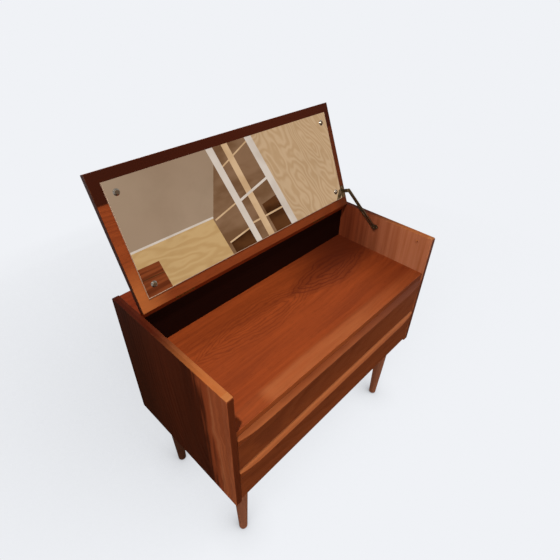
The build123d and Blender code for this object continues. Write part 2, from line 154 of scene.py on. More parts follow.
# Teak: slow bands of tone, growth rings cut by the board, streaks, fibre and fine dark pores
def make_teak_group():
    """The grain runs along X of the vector, Y is across the face and Z is into the board."""
    tree, given, result = new_group("teak_grain", [
        ("Vector", VECTOR, None), ("Dark", COLOUR, None), ("Light", COLOUR, None),
        ("Ring Spacing", VALUE, 0.012), ("Heart Depth", VALUE, 0.05), ("Heart Slope", VALUE, 0.10),
        ("Figure", VALUE, 0.3), ("Streaks", VALUE, 0.5), ("Pores", VALUE, 0.5)],
        [("Color", COLOUR), ("Roughness", VALUE), ("Height", VALUE)])
    vector = given["Vector"]
    axes = apart(tree, vector)
    wander = sum_of(tree, "SUBTRACT", speckle(tree, vector, (2.2, 7.0, 7.0), 3.0), 0.5)
    across = sum_of(tree, "MULTIPLY_ADD", wander, 0.07, axes["Y"])
    heart = sum_of(tree, "MULTIPLY_ADD", axes["X"], given["Heart Slope"], given["Heart Depth"])
    heart = sum_of(tree, "ADD", heart, axes["Z"])
    heart = sum_of(tree, "MULTIPLY_ADD", speckle(tree, vector, (3.5, 1.0, 1.0), 2.0), 0.04, heart)
    square = sum_of(tree, "ADD", times(tree, across, across), times(tree, heart, heart))
    reach = sum_of(tree, "SQRT", square)
    turns = sum_of(tree, "DIVIDE", reach, given["Ring Spacing"])
    turns = sum_of(tree, "MULTIPLY_ADD", speckle(tree, vector, (5.0, 26.0, 26.0), 3.0), 1.6, turns)
    ring = sum_of(tree, "FRACT", turns)
    late = times(tree, ease(tree, ring, 0.1, 0.8), opposite(tree, ease(tree, ring, 0.82, 1.0)))
    clear_rings = ease(tree, speckle(tree, vector, (3.0, 11.0, 11.0), 2.0), 0.35, 0.65)
    late = times(tree, late, clear_rings)
    band = sum_of(tree, "SUBTRACT", speckle(tree, vector, (0.9, 9.0, 9.0), 3.0, 0.55), 0.5)
    streak = sum_of(tree, "SUBTRACT", speckle(tree, vector, (1.6, 40.0, 40.0), 4.0, 0.6), 0.5)
    fibre = speckle(tree, vector, (12.0, 420.0, 420.0), 3.0, 0.6)
    pore = ease(tree, speckle(tree, vector, (38.0, 1250.0, 1250.0), 1.0), 0.60, 0.72)
    shade = sum_of(tree, "MULTIPLY_ADD", band, given["Streaks"], 0.55)
    shade = sum_of(tree, "ADD", shade, times(tree, streak, given["Streaks"]))
    shade = sum_of(tree, "SUBTRACT", shade, times(tree, late, given["Figure"]))
    shade = sum_of(tree, "MULTIPLY_ADD", sum_of(tree, "SUBTRACT", fibre, 0.5), 0.30, shade)
    shade = put(tree, "ShaderNodeClamp", Value=shade).outputs[0]
    colour = blend_colour(tree, shade, given["Dark"], given["Light"])
    pore_depth = times(tree, pore, given["Pores"])
    dark_pore = blend_colour(tree, 0.75, colour, PORE_TONE)
    feed(tree, result["Color"], blend_colour(tree, pore_depth, colour, dark_pore))
    rough = sum_of(tree, "MULTIPLY_ADD", late, 0.08, 0.38)
    rough = sum_of(tree, "MULTIPLY_ADD", fibre, 0.12, rough)
    feed(tree, result["Roughness"], sum_of(tree, "MULTIPLY_ADD", pore_depth, 0.25, rough))
    height = sum_of(tree, "MULTIPLY_ADD", fibre, 0.3, times(tree, late, 0.2))
    feed(tree, result["Height"], sum_of(tree, "SUBTRACT", height, pore_depth))
    return tree


# Wear: the arrises of a handled piece, where the oil has gone and the wood shows lighter
def make_wear_group():
    tree, given, result = new_group("worn_edges", [("Vector", VECTOR, None), ("Width", VALUE, 0.0016)],
                                    [("Wear", VALUE)])
    rounded = put(tree, "ShaderNodeBevel", {"samples": 6}, Radius=given["Width"])
    plain = tree.nodes.new("ShaderNodeNewGeometry")
    turn = put(tree, "ShaderNodeVectorMath", {"operation": "DOT_PRODUCT"})
    feed(tree, turn.inputs[0], rounded.outputs[0])
    feed(tree, turn.inputs[1], plain.outputs["Normal"])
    edge = opposite(tree, ease(tree, turn.outputs["Value"], 0.80, 0.99))
    rub_and_light = ease(tree, speckle(tree, given["Vector"], (30.0, 30.0, 30.0), 4.0, 0.65), 0.35, 0.7)
    feed(tree, result["Wear"], times(tree, edge, rub_and_light))
    return tree


# Flame: the eye-shaped figure where a board is cut through the side of a knot or a curl
def make_flame_group():
    """Centre and half sizes are in the vector's own metres, along the grain and across it."""
    tree, given, result = new_group("flame_figure", [
        ("Vector", VECTOR, None), ("Along", VALUE, 0.0), ("Across", VALUE, 0.0),
        ("Half Length", VALUE, 0.15), ("Half Width", VALUE, 0.05), ("Rings", VALUE, 6.0)],
        [("Mask", VALUE), ("Line", VALUE)])
    vector = given["Vector"]
    axes = apart(tree, vector)
    sway = sum_of(tree, "SUBTRACT", speckle(tree, vector, (7.0, 16.0, 16.0), 3.0), 0.5)
    along = sum_of(tree, "SUBTRACT", axes["X"], given["Along"])
    along = sum_of(tree, "DIVIDE", along, given["Half Length"])
    across = sum_of(tree, "SUBTRACT", axes["Y"], given["Across"])
    across = sum_of(tree, "MULTIPLY_ADD", sway, 0.05, across)
    across = sum_of(tree, "ABSOLUTE", sum_of(tree, "DIVIDE", across, given["Half Width"]))
    reach = sum_of(tree, "MULTIPLY_ADD", along, along, across)
    feed(tree, result["Mask"], opposite(tree, ease(tree, reach, 0.65, 1.08)))
    turns = times(tree, reach, given["Rings"])
    turns = sum_of(tree, "MULTIPLY_ADD", speckle(tree, vector, (30.0, 70.0, 70.0), 3.0), 0.9, turns)
    wave = sum_of(tree, "ABSOLUTE", sum_of(tree, "SUBTRACT", sum_of(tree, "FRACT", turns), 0.5))
    feed(tree, result["Line"], ease(tree, wave, 0.22, 0.46))
    return tree


# Band: where the colour of a veneer changes along a wavy line that follows the grain
def make_band_group():
    tree, given, result = new_group("veneer_band", [
        ("Vector", VECTOR, None), ("Start", VALUE, 0.0), ("Softness", VALUE, 0.01),
        ("Waver", VALUE, 0.02)], [("Band", VALUE)])
    vector = given["Vector"]
    sway = sum_of(tree, "SUBTRACT", speckle(tree, vector, (5.0, 9.0, 9.0), 4.0, 0.6), 0.5)
    place = sum_of(tree, "MULTIPLY_ADD", sway, given["Waver"], apart(tree, vector)["Y"])
    gone = sum_of(tree, "DIVIDE", sum_of(tree, "SUBTRACT", place, given["Start"]), given["Softness"])
    feed(tree, result["Band"], ease(tree, gone, -0.5, 0.5))
    return tree


teak_grain = make_teak_group()
worn_edges = make_wear_group()
flame_figure = make_flame_group()
veneer_band = make_band_group()


def new_material(name):
    made = bpy.data.materials.new(name)
    made.use_nodes = True
    tree = made.node_tree
    tree.nodes.clear()
    shader = tree.nodes.new("ShaderNodeBsdfPrincipled")
    put(tree, "ShaderNodeOutputMaterial", Surface=shader.outputs[0])
    return made, tree, shader


def grain_vector(tree, way, centre):
    """Object coordinates from centre, turned so that X is along the grain and Y across the face."""
    place = tree.nodes.new("ShaderNodeTexCoord").outputs["Object"]
    if way == "lid":
        shift = Matrix.Rotation(lid_turn, 3, "X") @ -hinge_point - Vector(centre)
        return put(tree, "ShaderNodeMapping", Vector=place, Location=shift,
                   Rotation=(lid_turn, 0, 0)).outputs[0]
    moved = put(tree, "ShaderNodeMapping", Vector=place, Location=-Vector(centre)).outputs[0]
    if way == "along":
        return moved
    axes = apart(tree, moved)
    along, across, deep = {"upright": "ZYX", "face": "XZY", "deep": "YXZ"}[way]
    return put(tree, "ShaderNodeCombineXYZ", X=axes[along], Y=axes[across], Z=axes[deep]).outputs[0]


def facing(tree, way):
    """1 on the faces of the piece that look the given way, 0 on the others."""
    turn = put(tree, "ShaderNodeVectorMath", {"operation": "DOT_PRODUCT"})
    feed(tree, turn.inputs[0], tree.nodes.new("ShaderNodeTexCoord").outputs["Normal"])
    turn.inputs[1].default_value = way
    return ease(tree, turn.outputs["Value"], 0.5, 0.8)


def facing_sideways(tree):
    return sum_of(tree, "MAXIMUM", facing(tree, (1, 0, 0)), facing(tree, (-1, 0, 0)))


def band_from(tree, vector, **sizes):
    made = put(tree, "ShaderNodeGroup", {"node_tree": veneer_band}, Vector=vector, **sizes)
    return made.outputs["Band"]


def flame_at(tree, vector, **sizes):
    return put(tree, "ShaderNodeGroup", {"node_tree": flame_figure}, Vector=vector, **sizes).outputs


def teak(name, way, dark, light, centre=(0, 0, 0), wear=0.35, gloss=0.3, tone_and_light=None, **figure):
    """An oiled teak; tone_and_light is a function that changes the colour of the grain over the piece: its own
    tone, and painted light and shade.
    """
    made, tree, shader = new_material(name)
    vector = grain_vector(tree, way, centre)
    grain = put(tree, "ShaderNodeGroup", {"node_tree": teak_grain}, Vector=vector, Dark=dark,
                Light=light, **figure)
    colour = grain.outputs["Color"]
    if tone_and_light:
        colour = tone_and_light(tree, vector, colour)
    wear_and_light = put(tree, "ShaderNodeGroup", {"node_tree": worn_edges}, Vector=vector)
    amount = times(tree, wear_and_light.outputs["Wear"], wear)
    feed(tree, shader.inputs["Base Color"], blend_colour(tree, amount, colour, WORN_WOOD))
    feed(tree, shader.inputs["Roughness"], grain.outputs["Roughness"])
    relief = put(tree, "ShaderNodeBump", Height=grain.outputs["Height"], Strength=0.25, Distance=0.0003)
    feed(tree, shader.inputs["Normal"], relief.outputs[0])
    shader.inputs["Specular IOR Level"].default_value = gloss
    return made


# What is particular to each board, with its painted light and shade. Places are in metres along the grain, X, and
# across it, Y.
def shelf_tone_and_light(tree, vector, colour):
    """Two flames; painted shade towards the rear right corner and the right end; a painted sheen, a paler strip
    along the front; and a front edge painted light, lightest at the left.
    """
    eye = flame_at(tree, vector, Along=0.216, Across=0.0, Half_Length=0.22, Half_Width=0.072,
                   Rings=5.0)
    curl = flame_at(tree, vector, Along=-0.127, Across=-0.005, Half_Length=0.26, Half_Width=0.075,
                    Rings=7.0)
    eye_shade = times(tree, eye["Mask"], sum_of(tree, "MULTIPLY_ADD", eye["Line"], 0.44, 0.27))
    colour = blend_colour(tree, eye_shade, colour, tint(80, 27, 13))
    colour = blend_colour(tree, times(tree, curl["Mask"], curl["Line"], 0.42), colour, tint(92, 36, 15))
    axes = apart(tree, vector)
    # Painted shade: the shelf darkens towards its rear right corner and towards its right end.
    corner = times(tree, ease(tree, axes["Y"], -0.10, 0.06), ease(tree, axes["X"], 0.0, 0.35), 0.85)
    colour = blend_colour(tree, corner, colour, tint(70, 23, 10))
    right_end_shade = times(tree, ease(tree, axes["X"], 0.15, 0.40), 0.35)
    colour = blend_colour(tree, right_end_shade, colour, tint(84, 34, 17))
    # Painted sheen: a paler, patchy strip along the front edge stands in for a reflection of the room.
    front = opposite(tree, band_from(tree, vector, Start=-0.185, Softness=0.022, Waver=0.012))
    middle = times(tree, ease(tree, axes["X"], -0.31, -0.27),
                   opposite(tree, ease(tree, axes["X"], 0.02, 0.36)))
    patchy = ease(tree, speckle(tree, vector, (4.0, 45.0, 45.0), 3.0), 0.3, 0.7)
    painted_sheen = times(tree, middle, sum_of(tree, "MULTIPLY_ADD", patchy, 0.22, 0.18))
    painted_sheen = sum_of(tree, "ADD", painted_sheen, 0.07)
    colour = blend_colour(tree, times(tree, front, painted_sheen), colour, tint(188, 116, 71))
    # Painted light: the front edge is written lighter, lightest at the left, for the light that falls on it.
    edge = blend_colour(tree, ease(tree, axes["X"], -0.1, 0.4), tint(168, 82, 37), tint(120, 55, 26))
    return blend_colour(tree, times(tree, facing(tree, (0, -1, 0)), 0.8), colour, edge)


def sapwood(tree, vector):
    """The band at the front of a side: its reach, and its colour, pale in front and redder behind."""
    axes = apart(tree, vector)
    sway = sum_of(tree, "SUBTRACT", speckle(tree, vector, (9.0, 14.0, 14.0), 3.0), 0.5)
    wavy = sum_of(tree, "MULTIPLY_ADD", sway, 0.05, axes["Y"])
    across = sum_of(tree, "MULTIPLY_ADD", axes["X"], -0.064, wavy)
    upright = sum_of(tree, "MULTIPLY_ADD", axes["X"], -0.01, wavy)
    ragged = sum_of(tree, "SUBTRACT", speckle(tree, vector, (3.0, 60.0, 60.0), 3.0, 0.6), 0.5)
    leaning = put(tree, "ShaderNodeCombineXYZ", X=axes["X"], Y=across, Z=axes["Z"]).outputs[0]
    edge = put(tree, "ShaderNodeCombineXYZ", X=axes["X"], Z=axes["Z"],
               Y=sum_of(tree, "MULTIPLY_ADD", ragged, 0.12, across)).outputs[0]
    reach = opposite(tree, band_from(tree, edge, Start=0.060, Softness=0.04, Waver=0.03))
    tone = blend_colour(tree, ease(tree, axes["X"], 0.25, 0.50), tint(193, 108, 67), tint(176, 94, 57))
    tone = blend_colour(tree, ease(tree, upright, 0.044, 0.061), tone, tint(159, 77, 43))
    seam = times(tree, ease(tree, upright, 0.040, 0.047),
                 opposite(tree, ease(tree, upright, 0.048, 0.054)), 0.3)
    tone = blend_colour(tree, seam, tone, tint(203, 133, 92))
    streak = ease(tree, speckle(tree, leaning, (3.0, 90.0, 90.0), 4.0, 0.6), 0.38, 0.62)
    return reach, blend_colour(tree, times(tree, streak, 0.42), tone, tint(121, 54, 30))


def inner_side(tree, vector):
    """The inner face of a side, streaked with grain: painted light, pale, at the front and painted shade,
    red-brown, at the rear under the strip and the lid.
    """
    streak = ease(tree, speckle(tree, vector, (1.8, 55.0, 55.0), 4.0, 0.6), 0.33, 0.66)
    front = blend_colour(tree, streak, tint(168, 99, 65), tint(187, 119, 85))
    rear = blend_colour(tree, streak, tint(99, 44, 25), tint(126, 59, 34))
    return blend_colour(tree, ease(tree, apart(tree, vector)["Y"], 0.07, 0.30), front, rear)


def outer_half(tree):
    """1 on the outer half of a side's thickness, 0 on the inner half."""
    place = apart(tree, tree.nodes.new("ShaderNodeTexCoord").outputs["Object"])
    from_middle = sum_of(tree, "ABSOLUTE", place["X"])
    return sum_of(tree, "GREATER_THAN", from_middle, (case_half + inner_half) / 2)


def panel_tone_and_light(tree, vector, colour):
    """Dark outside with a pale band at the front and painted shade towards the rear, redder inside, its top edge
    painted light in front and painted shade behind.
    """
    reach, pale = sapwood(tree, vector)
    from_front = apart(tree, vector)["Y"]
    # Painted shade: the outer face darkens towards the rear.
    rear = ease(tree, from_front, 0.22, 0.40)
    outer = blend_colour(tree, times(tree, rear, 0.55), colour, tint(26, 7, 3))
    outer = blend_colour(tree, times(tree, reach, 0.92), outer, pale)
    inner = blend_colour(tree, 0.8, colour, inner_side(tree, vector))
    colour = blend_colour(tree, outer_half(tree), inner, outer)
    # Painted light and shade on the top edge: light in front, dark towards the rear.
    top = blend_colour(tree, ease(tree, from_front, 0.05, 0.27), tint(163, 95, 49), tint(64, 21, 9))
    return blend_colour(tree, times(tree, facing(tree, (0, 0, 1)), 0.85), colour, top)


def lipping_tone_and_light(tree, vector, colour):
    """The sides carry the panel's own colours on, and the top is painted light, as the front of the panel's top
    edge is.
    """
    pale = sapwood(tree, vector)[1]
    side = blend_colour(tree, outer_half(tree), inner_side(tree, vector), pale)
    colour = blend_colour(tree, times(tree, facing_sideways(tree), 0.85), colour, side)
    # Painted light: the top of the lipping.
    return blend_colour(tree, times(tree, facing(tree, (0, 0, 1)), 0.85), colour, tint(174, 109, 60))


def front_tone_and_light(tree, vector, colour):
    """The lips' bevels written lighter, partly wear and partly painted light from the lamp above: the lower along
    its top, the upper at its nose and left end; the upper's right end is painted shade.
    """
    upper_top, lower_top = (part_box(f"{name}_drawer_front")[1].z for name in ("upper", "lower"))
    coordinates = tree.nodes.new("ShaderNodeTexCoord").outputs
    place = apart(tree, coordinates["Object"])
    lean = apart(tree, coordinates["Normal"])["Z"]
    bevel = times(tree, ease(tree, lean, 0.15, 0.35), opposite(tree, ease(tree, lean, 0.6, 0.8)))
    on_upper = sum_of(tree, "GREATER_THAN", place["Z"], lower_top)
    by_top = ease(tree, place["Z"], lower_top - 16 * MM, lower_top - 7 * MM)
    by_nose = ease(tree, place["Z"], upper_top - 4 * MM, upper_top - 18 * MM)
    left_end_light = ease(tree, place["X"], -0.18, -0.32)
    # Painted light, partly wear: how much lighter each bevel is written.
    lower_rub_and_light = sum_of(tree, "MULTIPLY_ADD", by_top, 0.24, 0.30)
    upper_rub_and_light = sum_of(tree, "MULTIPLY_ADD", by_nose, 0.20, 0.02)
    upper_rub_and_light = sum_of(tree, "MULTIPLY_ADD", left_end_light, 0.18, upper_rub_and_light)
    rub_and_light = sum_of(tree, "ADD", times(tree, on_upper, upper_rub_and_light),
                    times(tree, opposite(tree, on_upper), lower_rub_and_light))
    patchy = ease(tree, speckle(tree, vector, (6.0, 40.0, 40.0), 3.0), 0.2, 0.8)
    rub_and_light = times(tree, sum_of(tree, "MULTIPLY_ADD", patchy, 0.4, 0.8), rub_and_light)
    # The bevels' painted light and wear.
    colour = blend_colour(tree, times(tree, bevel, rub_and_light), colour, tint(212, 128, 74))
    # Painted shade: the upper bevel darkens towards its right end, under the shelf's front edge.
    upper_right_shade = ease(tree, place["X"], -0.05, 0.35)
    return blend_colour(tree, times(tree, bevel, on_upper, upper_right_shade, 0.75), colour, tint(94, 39, 16))


def lid_tone_and_light(tree, vector, colour):
    """Dark ends; on the mirror's side a dark free edge that is painted shade, a dark right side and a lower left
    corner painted light.
    """
    axes = apart(tree, vector)
    on_face = facing(tree, mirror_way)
    # Painted light: the lower left of the mirror's side, by the hinge, is written lighter.
    wear_and_light = times(tree, ease(tree, axes["X"], -0.30, -0.39), ease(tree, axes["Y"], 0.14, 0.04),
                 on_face, 0.4)
    colour = blend_colour(tree, wear_and_light, colour, tint(196, 118, 62))
    right_side = times(tree, ease(tree, axes["X"], 0.33, 0.39), on_face, 0.55)
    colour = blend_colour(tree, right_side, colour, tint(52, 20, 9))
    # Painted shade: a dark band along the lid's free edge on the mirror's side.
    dark = band_from(tree, vector, Start=0.262, Softness=0.006, Waver=0.006)
    free_edge_shade = blend_colour(tree, ease(tree, axes["X"], -0.35, 0.30), tint(42, 12, 4), tint(62, 21, 8))
    colour = blend_colour(tree, times(tree, dark, on_face, 0.96), colour, free_edge_shade)
    return blend_colour(tree, times(tree, facing_sideways(tree), 0.9), colour, tint(40, 14, 7))


# Metals and the mirror
def plain_metal(name, colour, rough, spots):
    made, tree, shader = new_material(name)
    place = tree.nodes.new("ShaderNodeTexCoord").outputs["Object"]
    tarnish = ease(tree, speckle(tree, place, (120.0, 120.0, 120.0), 4.0, 0.6), 0.35, 0.7)
    scratch = speckle(tree, place, (300.0, 2200.0, 300.0), 2.0)
    feed(tree, shader.inputs["Base Color"], blend_colour(tree, tarnish, colour, spots))
    feed(tree, shader.inputs["Roughness"], sum_of(tree, "MULTIPLY_ADD", tarnish, 0.2, rough))
    relief = put(tree, "ShaderNodeBump", Height=scratch, Strength=0.15, Distance=0.0002)
    feed(tree, shader.inputs["Normal"], relief.outputs[0])
    shader.inputs["Metallic"].default_value = 1.0
    return made


def mirror_silver():
    """Silvered glass: a clean face, a little haze, and ground edges with a fine arris that show pale."""
    made, tree, shader = new_material("mirror_silver")
    place = tree.nodes.new("ShaderNodeTexCoord").outputs["Object"]
    axes = apart(tree, grain_vector(tree, "lid", (0, 0, 0)))
    corners = nodes["mirror_glass"].data.vertices
    low_edge = min((corner.co - hinge_point).dot(lid_out) for corner in corners)
    side_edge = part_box("mirror_glass")[1].x
    arris = 1.5 * MM
    from_middle = sum_of(tree, "ABSOLUTE", axes["X"])
    inside = times(tree, sum_of(tree, "LESS_THAN", from_middle, side_edge - arris / 2),
                   sum_of(tree, "GREATER_THAN", axes["Y"], low_edge + arris))
    face = times(tree, facing(tree, mirror_way), inside)
    haze = ease(tree, speckle(tree, place, (9.0, 9.0, 9.0), 4.0, 0.6), 0.4, 0.8)
    silver = blend_colour(tree, haze, tint(238, 238, 234), tint(229, 229, 224))
    feed(tree, shader.inputs["Base Color"], blend_colour(tree, face, tint(164, 138, 118), silver))
    feed(tree, shader.inputs["Metallic"], face)
    polish = sum_of(tree, "MULTIPLY_ADD", haze, 0.012, 0.006)
    ground = times(tree, opposite(tree, face), 0.4)
    feed(tree, shader.inputs["Roughness"], sum_of(tree, "ADD", polish, ground))
    return made


finishes = {
    "panel_teak": teak("panel_teak", "upright", tint(46, 16, 8), tint(82, 33, 16), (0, case_front, 0.2),
                       tone_and_light=panel_tone_and_light, gloss=0.03, Figure=0.2, Streaks=0.8, Heart_Depth=0.12),
    "lipping_teak": teak("lipping_teak", "upright", tint(81, 31, 11), tint(121, 53, 22),
                         (0, case_front, 0.2), tone_and_light=lipping_tone_and_light, gloss=0.12, Figure=0.15),
    "floor_teak": teak("floor_teak", "along", tint(93, 34, 13), tint(167, 77, 33), (0, 0, shelf_top),
                       tone_and_light=shelf_tone_and_light, gloss=0.1, Figure=0.13, Streaks=0.8),
    "top_teak": teak("top_teak", "along", tint(82, 27, 9), tint(138, 53, 19), (0.1, 0.1, 0.7),
                     gloss=0.06, Figure=0.2),
    "lid_teak": teak("lid_teak", "lid", tint(94, 38, 15), tint(142, 67, 30), tone_and_light=lid_tone_and_light,
                     gloss=0.05, Figure=0.2),
    "front_teak": teak("front_teak", "face", tint(101, 42, 16), tint(163, 80, 35), (0.2, 0.1, 0.5),
                       tone_and_light=front_tone_and_light, gloss=0.2, Figure=0.2),
    "leg_teak": teak("leg_teak", "upright", tint(144, 82, 56), tint(192, 125, 94), (0.3, 0.1, 0.2),
                     Figure=0.25),
    "drawer_wood": teak("drawer_wood", "deep", tint(176, 136, 92), tint(214, 180, 134), (0.2, 0.1, 0.5),
                        Figure=0.25, Streaks=0.4, Pores=0.2),
    "plywood": teak("plywood", "along", tint(160, 118, 76), tint(204, 166, 118), (0.2, 0.1, 0.5),
                    Figure=0.3, Streaks=0.3, Pores=0.2),
    "back_board": teak("back_board", "along", tint(92, 52, 31), tint(138, 90, 58), (0.2, 0.1, 0.5),
                       Figure=0.3, Streaks=0.4, Pores=0.3, wear=0.2, gloss=0.15),
    "mirror": mirror_silver(),
    "screw_chrome": plain_metal("screw_chrome", tint(150, 142, 132), 0.22, tint(96, 88, 78)),
    "hinge_brass": plain_metal("hinge_brass", tint(146, 112, 62), 0.32, tint(88, 64, 34)),
    "stay_brass": plain_metal("stay_brass", tint(128, 112, 86), 0.40, tint(84, 72, 54)),
}

# Pieces darker than others of their kind: the compartment's rear wall, stained dark and darkened further as
# painted shade, and the rear legs, darkened as painted shade
shaded_leg = teak("shaded_leg_teak", "upright", tint(58, 29, 19), tint(92, 53, 36), (0.3, 0.1, 0.2),
                Figure=0.25)
own_finishes = {
    # Painted shade: the compartment's rear wall, dark stained, written darker still.
    "compartment_back": teak("compartment_stain_and_shade", "along", tint(16, 5, 3), tint(29, 8, 5),
                             (0.2, 0.1, 0.5), Figure=0.2, Streaks=0.4, Pores=0.3, wear=0.15, gloss=0.06),
    "leg_rear_left": shaded_leg,
    "leg_rear_right": shaded_leg,
}

for part in frame["record"]["subparts"]:
    for slot in nodes[part["node"]].material_slots:
        slot.material = own_finishes.get(part["node"], finishes[part["material_slot"]])


# Slotted screws, set on points that carry the way they face and the turn of the slot
def make_fastener_tree():
    tree = bpy.data.node_groups.new("slotted_screws", "GeometryNodeTree")
    sizes = {"Head Diameter": 0.006, "Head Height": 0.0004, "Slot Width": 0.0009, "Slot Depth": 0.0003}
    tree.interface.new_socket("Places", in_out="INPUT", socket_type="NodeSocketGeometry")
    for name, value in sizes.items():
        size = tree.interface.new_socket(name, in_out="INPUT", socket_type="NodeSocketFloat")
        size.default_value = value
    tree.interface.new_socket("Finish", in_out="INPUT", socket_type="NodeSocketMaterial")
    tree.interface.new_socket("Screws", in_out="OUTPUT", socket_type="NodeSocketGeometry")
    given = tree.nodes.new("NodeGroupInput").outputs
    half = times(tree, given["Head Diameter"], 0.5)
    crown = times(tree, half, 0.72)
    head = put(tree, "GeometryNodeMeshCone", {"fill_type": "NGON"}, Vertices=20, Radius_Top=crown,
               Radius_Bottom=half, Depth=given["Head Height"]).outputs["Mesh"]
    slot_size = put(tree, "ShaderNodeCombineXYZ", X=times(tree, given["Head Diameter"], 1.2),
                    Y=given["Slot Width"], Z=times(tree, given["Slot Depth"], 2.0)).outputs[0]
    cutter = put(tree, "GeometryNodeMeshCube", Size=slot_size).outputs["Mesh"]
    lifted = put(tree, "ShaderNodeCombineXYZ", Z=given["Head Height"]).outputs[0]
    cutter = put(tree, "GeometryNodeTransform", Geometry=cutter, Translation=lifted).outputs[0]
    cut = put(tree, "GeometryNodeMeshBoolean", {"operation": "DIFFERENCE"})
    feed(tree, cut.inputs["Mesh 1"], head)
    feed(tree, cut.inputs["Mesh 2"], cutter)
    carried = "GeometryNodeInputNamedAttribute"
    way = put(tree, carried, {"data_type": "FLOAT_VECTOR"}, Name="facing").outputs[0]
    turn = put(tree, carried, {"data_type": "FLOAT"}, Name="turn").outputs[0]
    spin = put(tree, "FunctionNodeAxisAngleToRotation", Axis=(0, 0, 1), Angle=turn).outputs[0]
    square = put(tree, "FunctionNodeAlignRotationToVector", {"axis": "Z"}, Rotation=spin,
                 Vector=way).outputs[0]
    placed = put(tree, "GeometryNodeInstanceOnPoints", Points=given["Places"], Instance=cut.outputs[0],
                 Rotation=square).outputs[0]
    made = put(tree, "GeometryNodeRealizeInstances", Geometry=placed).outputs[0]
    made = put(tree, "GeometryNodeSetMaterial", Geometry=made, Material=given["Finish"]).outputs[0]
    feed(tree, tree.nodes.new("NodeGroupOutput").inputs["Screws"], made)
    return tree


fastener_tree = make_fastener_tree()


def set_screws(name, body, slot, places, **sizes):
    """One mesh of screws on a body; each place is a point, the way it faces and its slot's turn."""
    points = bpy.data.meshes.new(f"{name}_places")
    points.from_pydata([tuple(point) for point, way, turn in places], [], [])
    points.attributes.new("facing", "FLOAT_VECTOR", "POINT")
    points.attributes.new("turn", "FLOAT", "POINT")
    for index, (point, way, turn) in enumerate(places):
        points.attributes["facing"].data[index].vector = way
        points.attributes["turn"].data[index].value = turn
    holder = bpy.data.objects.new(f"{name}_places", points)
    bpy.context.scene.collection.objects.link(holder)
    grown = holder.modifiers.new("screws", "NODES")
    grown.node_group = fastener_tree
    values = {key.replace("_", " "): value for key, value in sizes.items()}
    values["Finish"] = finishes[slot]
    for item in fastener_tree.interface.items_tree:
        if item.in_out == "INPUT" and item.name in values:
            grown[item.identifier] = values[item.name]
    bpy.context.view_layer.update()
    mesh = bpy.data.meshes.new_from_object(holder.evaluated_get(bpy.context.evaluated_depsgraph_get()))
    mesh.name = name
    holder.modifiers.remove(grown)
    bpy.data.objects.remove(holder)
    piece = bpy.data.objects.new(name, mesh)
    bpy.context.scene.collection.objects.link(piece)
    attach(piece, body)


def on_lid(x, out, proud):
    """A point given along the hinge, out from it and out of the mirror's side."""
    return Vector((x, hinge_point.y, hinge_point.z)) + lid_out * out + mirror_way * proud


def hinge_screws():
    """Three in each leaf, on the face that the shut lid hides."""
    spacing, leaf_face, down_leaf = 20 * MM, 0.5 * MM, 8.5 * MM
    fixed, moving = [], []
    for name in ("left", "right"):
        low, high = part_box(f"hinge_{name}_fixed_leaf")
        middle = (low.x + high.x) / 2
        for step in (-1, 0, 1):
            x = middle + step * spacing
            on_strip = Vector((x, hinge_point.y + leaf_face, hinge_point.z - down_leaf))
            fixed.append((on_strip, (0, -1, 0), 0.7 * step + x))
            moving.append((on_lid(x, leaf_face, down_leaf), -lid_out, 1.3 * step - x))
    return fixed, moving


fixed_screws, lid_screws = hinge_screws()
set_screws("hinge_screws_case", "case", "hinge_brass", fixed_screws)
set_screws("hinge_screws_lid", "lid", "hinge_brass", lid_screws)

plate_low, plate_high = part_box("stay_plate")
plate_middle = (plate_low + plate_high) / 2
plate_t, from_stud = 1.5 * MM, 7.5 * MM
plate_screws = [(Vector((plate_high.x - plate_t, plate_middle.y + step * from_stud, plate_middle.z)),
                 (-1, 0, 0), 0.5 + step) for step in (-1, 1)]
set_screws("stay_plate_screws", "case", "stay_brass", plate_screws,
           Head_Height=0.0006, Head_Diameter=0.0042, Slot_Width=0.0007)

foot_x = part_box("stay_bracket")[0].x + 7 * MM
foot_top = 20 * MM
foot_screws = [(on_lid(foot_x, out * MM, foot_top), mirror_way, out) for out in (35, 61)]
set_screws("stay_bracket_screws", "lid", "stay_brass", foot_screws, Head_Height=0.0006)

rail_low, rail_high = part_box("leg_rail_right")
rail_middle = (rail_low.x + rail_high.x) / 2
rail_spacing = 0.10
rail_screws = [(Vector((side * rail_middle, y, rail_low.z)), (0, 0, -1), side + 7 * y)
               for side in (-1, 1) for y in (-rail_spacing, 0.0, rail_spacing)]
set_screws("rail_screws", "case", "screw_chrome", rail_screws, Head_Diameter=0.008, Slot_Width=0.0012)

back_low, back_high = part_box("back_panel")
from_edge, back_spacing, side_x = 6 * MM, 0.13, 0.405
rows = (back_low.z + from_edge, back_high.z - from_edge)
back_places = [(back_spacing * step, z) for z in rows for step in range(-3, 4)]
back_places += [(x, z) for x in (-side_x, side_x) for z in (0.42, 0.52, 0.62)]
back_screws = [(Vector((x, back_high.y, z)), (0, 1, 0), 3 * x + 5 * z) for x, z in back_places]
set_screws("back_screws", "case", "screw_chrome", back_screws, Head_Diameter=0.007)


# Floor, backdrop, light and camera
BACKGROUND = tint(240, 242, 246)


def light_path(tree):
    return tree.nodes.new("ShaderNodeLightPath").outputs


def seen_directly(tree):
    """1 for rays that show the surroundings themselves: to the camera, in gloss and through glass."""
    rays = light_path(tree)
    direct = sum_of(tree, "MAXIMUM", rays["Is Camera Ray"], rays["Is Glossy Ray"])
    return sum_of(tree, "MAXIMUM", direct, rays["Is Transmission Ray"])


def mix_shaders(tree, amount, first, second):
    either = tree.nodes.new("ShaderNodeMixShader")
    for socket, value in zip(either.inputs, (amount, first.outputs[0], second.outputs[0])):
        feed(tree, socket, value)
    return either


